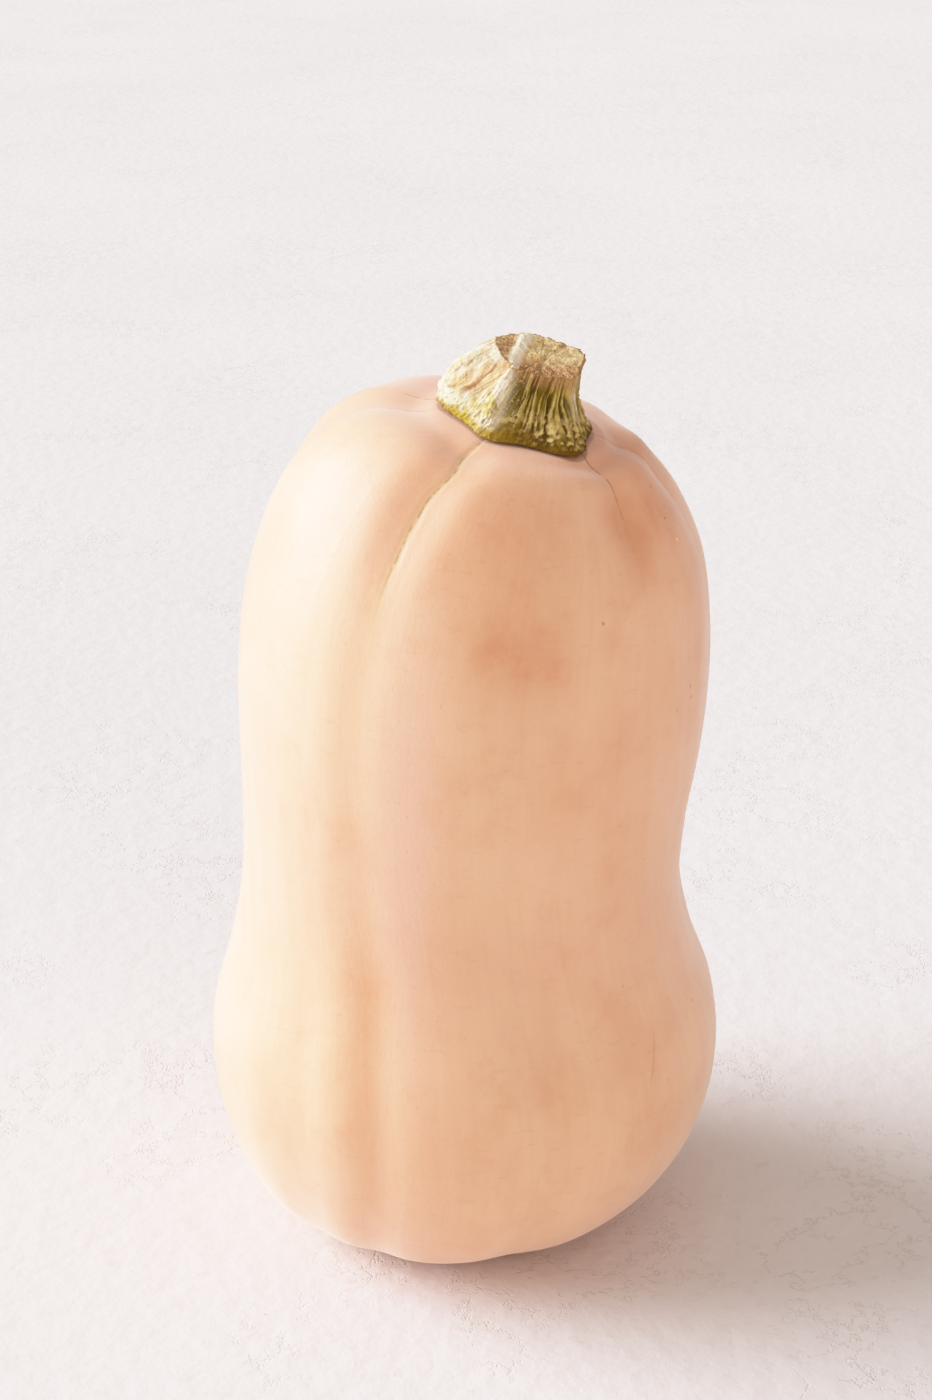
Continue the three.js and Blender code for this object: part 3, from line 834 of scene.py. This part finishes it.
class Nodes:
    """Short calls for a material's nodes. Its colours and noises may be given by their names."""

    def __init__(self, name, palette, noises):
        self.palette = palette
        self.material = bpy.data.materials.new(name)
        self.material.use_nodes = True
        self.tree = self.material.node_tree
        self.tree.nodes.clear()
        output = self.tree.nodes.new("ShaderNodeOutputMaterial")
        self.shader = self.tree.nodes.new("ShaderNodeBsdfPrincipled")
        self.tree.links.new(self.shader.outputs[0], output.inputs["Surface"])
        self.place = self.tree.nodes.new("ShaderNodeTexCoord").outputs["Object"]
        self.noises = {key: self.noise(*row) for key, row in noises.items()}

    def put(self, socket, value):
        if isinstance(value, bpy.types.NodeSocket):
            self.tree.links.new(value, socket)
        elif isinstance(value, str):
            socket.default_value = colour(*self.palette[value])
        else:
            socket.default_value = value

    def stored(self, name):
        node = self.tree.nodes.new("ShaderNodeAttribute")
        node.attribute_name = name
        return node.outputs

    def attribute(self, name):
        return self.stored(name)["Fac"]

    def height(self):
        node = self.tree.nodes.new("ShaderNodeSeparateXYZ")
        self.put(node.inputs[0], self.place)
        return node.outputs["Z"]

    def distance(self, spot):
        node = self.tree.nodes.new("ShaderNodeVectorMath")
        node.operation = "DISTANCE"
        self.put(node.inputs[0], self.place)
        node.inputs[1].default_value = spot
        return node.outputs["Value"]

    def noise(self, follows, squeeze, scale, detail, rough):
        mapping = self.tree.nodes.new("ShaderNodeMapping")
        mapping.inputs["Scale"].default_value = squeeze
        place = self.place if follows == "object" else self.stored(follows)["Vector"]
        self.put(mapping.inputs["Vector"], place)
        node = self.tree.nodes.new("ShaderNodeTexNoise")
        self.put(node.inputs["Vector"], mapping.outputs[0])
        node.inputs["Scale"].default_value = scale
        node.inputs["Detail"].default_value = detail
        node.inputs["Roughness"].default_value = rough
        return node.outputs["Fac"]

    def math(self, operation, a, b=0.0):
        node = self.tree.nodes.new("ShaderNodeMath")
        node.operation = operation
        self.put(node.inputs[0], a)
        self.put(node.inputs[1], b)
        return node.outputs[0]

    def times(self, first, *others):
        """Product of all the values."""
        for other in others:
            first = self.math("MULTIPLY", first, other)
        return first

    def band(self, value, levels, shares=(0, 1)):
        """Turns a value or a named noise into a share: the first at the first level, then the last."""
        if isinstance(value, str):
            value = self.noises[value]
        node = self.tree.nodes.new("ShaderNodeMapRange")
        node.interpolation_type = "SMOOTHSTEP"
        self.put(node.inputs["Value"], value)
        for name, number in zip(("From Min", "From Max", "To Min", "To Max"), (*levels, *shares)):
            node.inputs[name].default_value = number
        return node.outputs[0]

    def zone(self, name, value, levels, shares=(0, 1)):
        """A zone stored in the mesh, broken up by a noise."""
        return self.times(self.attribute(name), self.band(value, levels, shares))

    def near(self, name, edge, strength=1):
        """Strength where a stored distance is inside the edge's second limit, 0 outside its first."""
        return self.band(self.math("ABSOLUTE", self.attribute(name)), edge, (0, strength))

    def dots(self, scale, edge, places, levels, shares):
        """Small random dots, only where a noise lets them be."""
        cells = self.tree.nodes.new("ShaderNodeTexVoronoi")
        self.put(cells.inputs["Vector"], self.place)
        cells.inputs["Scale"].default_value = scale
        return self.times(self.band(cells.outputs["Distance"], edge), self.band(places, levels, shares))

    def mix(self, share, a, b):
        node = self.tree.nodes.new("ShaderNodeMix")
        node.data_type = "RGBA"
        self.put(node.inputs["Factor"], share)
        self.put(node.inputs["A"], a)
        self.put(node.inputs["B"], b)
        return node.outputs["Result"]

    def paint(self, tone, layers):
        """Lays a table of layers over a tone."""
        for zone, noise, levels, shares, dab in layers:
            share = self.zone(zone, noise, levels, shares) if zone else self.band(noise, levels, shares)
            tone = self.mix(share, tone, dab)
        return tone

    def finish(self, tone, roughness, relief, bump, values):
        """Joins colour, roughness and bump to the shader, and sets its plain values."""
        node = self.tree.nodes.new("ShaderNodeBump")
        node.inputs["Strength"].default_value, node.inputs["Distance"].default_value = bump
        self.put(node.inputs["Height"], relief)
        self.put(self.shader.inputs["Base Color"], tone)
        self.put(self.shader.inputs["Roughness"], roughness)
        self.put(self.shader.inputs["Normal"], node.outputs[0])
        for name, value in values.items():
            self.shader.inputs[name].default_value = value
        return self.material


def colour(red, green, blue):
    """Screen colour in 0 to 255 as the linear colour that a shader takes."""
    share = [value / 255 for value in (red, green, blue)]
    linear = [c / 12.92 if c <= 0.04045 else ((c + 0.055) / 1.055) ** 2.4 for c in share]
    return (*linear, 1.0)


def crease_lines(m, tone):
    """Thin broken lines in the creases of the crown, and a faint painted shade along the first one."""
    broken = m.band("line gaps", LINE_GAPS, LINE_SHARES)
    wobble = m.math("SUBTRACT", m.noises["line wobble"], 0.5)
    for number, (line_colour, width) in enumerate(CREASE_LINES):
        away = m.math("ABSOLUTE", m.math("ADD", m.attribute(f"crease_{number}"), wobble))
        line = m.band(away, [width * limit for limit in LINE_EDGE])
        share = m.times(line, m.attribute(f"crease_fade_{number}"), broken)
        tone = m.mix(share, tone, colour(*line_colour))
    # Painted shade in the groove beside the first crease line, growing towards the crown.
    crease_shade = m.times(m.near("crease_0", CREASE_SHADE_EDGE, CREASE_SHADE_STRENGTH), m.attribute("crease_shade"))
    return m.mix(crease_shade, tone, "crease_shade")


def skin_specks(m, tone, pores):
    """Random dots and pores, and the single specks at their own places."""
    tone = m.mix(m.times(m.dots(*SKIN_DOTS), m.attribute("speck_zone")), tone, "dot")
    tone = m.mix(m.times(pores, PORE_STRENGTH), tone, "pore")
    for specks, dab in ((DARK_SPECKS, "dark speck"), (PALE_SPECKS, "pale speck")):
        for x, y, z, size in specks:
            away = m.distance((x * MM, y * MM, z * MM))
            share = m.band(away, [size * limit * MM for limit in SPECK_EDGE], (0, SPECK_STRENGTH))
            tone = m.mix(share, tone, dab)
    return tone


def skin_scratch(m, tone):
    above, below = (m.band(m.height(), [z * MM for z in limit]) for limit in (SCRATCH_FOOT, SCRATCH_TOP))
    share = m.times(m.near("scratch", SCRATCH_EDGE, SCRATCH_STRENGTH), above, below)
    return m.mix(share, tone, "scratch")


def skin_ends(m, tone):
    """Paler base, corky blossom scar and the painted contact shadow: a dark line where the skin meets the
    stem.
    """
    tone = m.mix(m.times(m.attribute("base"), BASE_STRENGTH), tone, "base")
    tone = m.mix(m.attribute("scar"), tone, m.paint("cork", CORK_LAYERS))
    # Painted contact shadow: dark right round the stem's foot.
    contact = m.band(m.attribute("from_foot"), CONTACT_SHADOW_EDGE, (0, CONTACT_SHADOW_STRENGTH))
    return m.mix(contact, tone, "contact")


def skin_material():
    m = Nodes("squash_skin", SKIN_COLOURS, SKIN_NOISES)
    pores = m.dots(*SKIN_PORES)
    tone = crease_lines(m, m.paint("ground", SKIN_LAYERS))
    tone = skin_scratch(m, skin_specks(m, tone, pores))
    tone = skin_ends(m, tone)
    relief = m.math("ADD", m.times(m.noises["threads"], THREAD_RELIEF), m.noises["grain"])
    relief = m.math("SUBTRACT", relief, m.times(pores, PORE_RELIEF))
    return m.finish(tone, m.band(*SKIN_ROUGHNESS), relief, SKIN_BUMP, SKIN_FINISH)


def stem_cream(m, tone):
    """Cream crests and left face, with green and pitted spots in them."""
    cream = m.zone("cream", "patch", CREAM_LEVELS, CREAM_SHARES)
    tone = m.mix(cream, tone, m.paint("cream", CREAM_LAYERS))
    low = m.band(m.attribute("share"), GREEN_SPOT_HEIGHTS)
    spots = m.times(m.zone("cream", "green spots", GREEN_SPOT_LEVELS), low)
    flank = m.zone("greenish", "green flank", GREEN_FLANK_LEVELS)
    tone = m.mix(m.times(m.math("MAXIMUM", spots, flank), GREEN_STRENGTH), tone, "green")
    return m.paint(tone, PIT_LAYERS)


def stem_edges(m, tone):
    """Glinting crumbs beside the crest, the edge of the foot and the brown crust below the end."""
    tone = m.mix(m.times(m.dots(*STEM_GLINTS), m.attribute("crusty")), tone, "glint")
    foot = m.paint(m.mix(m.attribute("left_foot"), "foot", "left foot"), FOOT_LAYERS)
    tone = m.mix(m.zone("foot", "patch", FOOT_LEVELS, FOOT_SHARES), tone, foot)
    high = m.band(m.attribute("share"), CRUST_HEIGHTS)
    covered = m.math("SUBTRACT", 1, m.attribute("bare"))
    return m.mix(m.times(high, m.band("fibre", CRUST_LEVELS, CRUST_SHARES), covered), tone, "crust")


def stem_end(m, tone):
    """Torn end, pale behind and brown in front, its ridge, and the brown hollows."""
    back = m.paint("torn back", TORN_BACK_LAYERS)
    front = m.paint("torn front", TORN_FRONT_LAYERS)
    torn = m.paint(m.mix(m.attribute("facing"), back, front), TORN_LAYERS)
    torn = m.mix(m.near("beside", RIDGE_COLOUR_EDGE), torn, "ridge")
    tone = m.mix(m.attribute("end"), tone, torn)
    hollow = m.zone("hollow", "grain", HOLLOW_LEVELS, HOLLOW_SHARES)
    return m.mix(hollow, tone, m.paint("brown", BROWN_LAYERS))


def stem_material():
    m = Nodes("squash_stem", STEM_COLOURS, STEM_NOISES)
    tone = stem_cream(m, m.paint("dark olive", BARK_LAYERS))
    tone = stem_end(m, stem_edges(m, tone))
    relief = m.math("ADD", m.noises["fibre"], m.noises["relief"])
    return m.finish(tone, m.band(*STEM_ROUGHNESS), relief, STEM_BUMP, STEM_FINISH)


def floor_material():
    m = Nodes("table", FLOOR_COLOURS, FLOOR_NOISES)
    middle = m.math("ABSOLUTE", m.math("SUBTRACT", m.noises["hairlines"], 0.5))
    hairline = m.times(m.band(middle, HAIRLINE_EDGE), m.band("hairline places", HAIRLINE_LEVELS))
    tone = m.mix(m.times(hairline, HAIRLINE_STRENGTH), m.paint("ground", FLOOR_LAYERS), "hairline")
    relief = m.math("SUBTRACT", m.math("ADD", m.noises["grain"], m.noises["relief"]), hairline)
    return m.finish(tone, FLOOR_ROUGHNESS, relief, FLOOR_BUMP, FLOOR_FINISH)


def make_floor():
    mesh = bpy.data.meshes.new("table_top")
    turns = np.arange(FLOOR_SIDES) / FLOOR_SIDES * 2 * math.pi
    corners = on_cylinder(FLOOR_RADIUS, turns, 0 * turns)
    mesh.from_pydata(corners.tolist(), [], [tuple(range(FLOOR_SIDES))])
    table_top = bpy.data.objects.new("table_top", mesh)
    bpy.context.scene.collection.objects.link(table_top)
    mesh.materials.append(floor_material())


def add_lamp(name, place, spread, strength, tint):
    """A far, soft light that shines from that direction, with its spread in degrees."""
    data = bpy.data.lights.new(name, "SUN")
    data.angle = math.radians(spread)
    data.energy = strength
    data.color = tint
    lamp = bpy.data.objects.new(name, data)
    bpy.context.scene.collection.objects.link(lamp)
    lamp.location = place
    level = math.hypot(place[0], place[1])
    lamp.rotation_euler = (math.atan2(level, place[2]), 0, math.atan2(-place[1], -place[0]) - math.pi / 2)


def make_light():
    world = bpy.data.worlds.new("soft_room")
    world.use_nodes = True
    background = world.node_tree.nodes["Background"]
    background.inputs["Color"].default_value = ROOM_COLOUR
    background.inputs["Strength"].default_value = ROOM_STRENGTH
    bpy.context.scene.world = world
    for lamp in LAMPS:
        add_lamp(*lamp)


def soften_highlights():
    """Applies the film curve, so that bright skin pales."""
    view = bpy.context.scene.view_settings
    view.view_transform = "Standard"
    view.use_curve_mapping = True
    film = view.curve_mapping
    film.white_level = (FILM_WHITE, FILM_WHITE, FILM_WHITE)
    points = film.curves[3].points
    while len(points) < len(FILM_CURVE):
        points.new(0.5, 0.5)
    for point, place in zip(points, FILM_CURVE):
        point.location = place
    film.update()


def make_camera():
    data = bpy.data.cameras.new("camera")
    camera = bpy.data.objects.new("camera", data)
    bpy.context.scene.collection.objects.link(camera)
    data.sensor_width = SENSOR_WIDTH
    data.lens = data.sensor_width * FOCAL_PIXELS / LONG_SIDE_PIXELS
    data.clip_start, data.clip_end = CAMERA_RANGE
    camera.location = CAMERA_PLACE
    camera.rotation_euler = (math.radians(90 - CAMERA_DOWN), 0, 0)
    bpy.context.scene.camera = camera


make_camera()
make_light()
soften_highlights()
make_floor()

fruit = make_fruit()
fruit.data.materials.append(skin_material())
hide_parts("fruit")
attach(fruit, "root")

stem = make_stem()
stem.data.materials.append(stem_material())
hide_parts("stem")
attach(stem, "root")
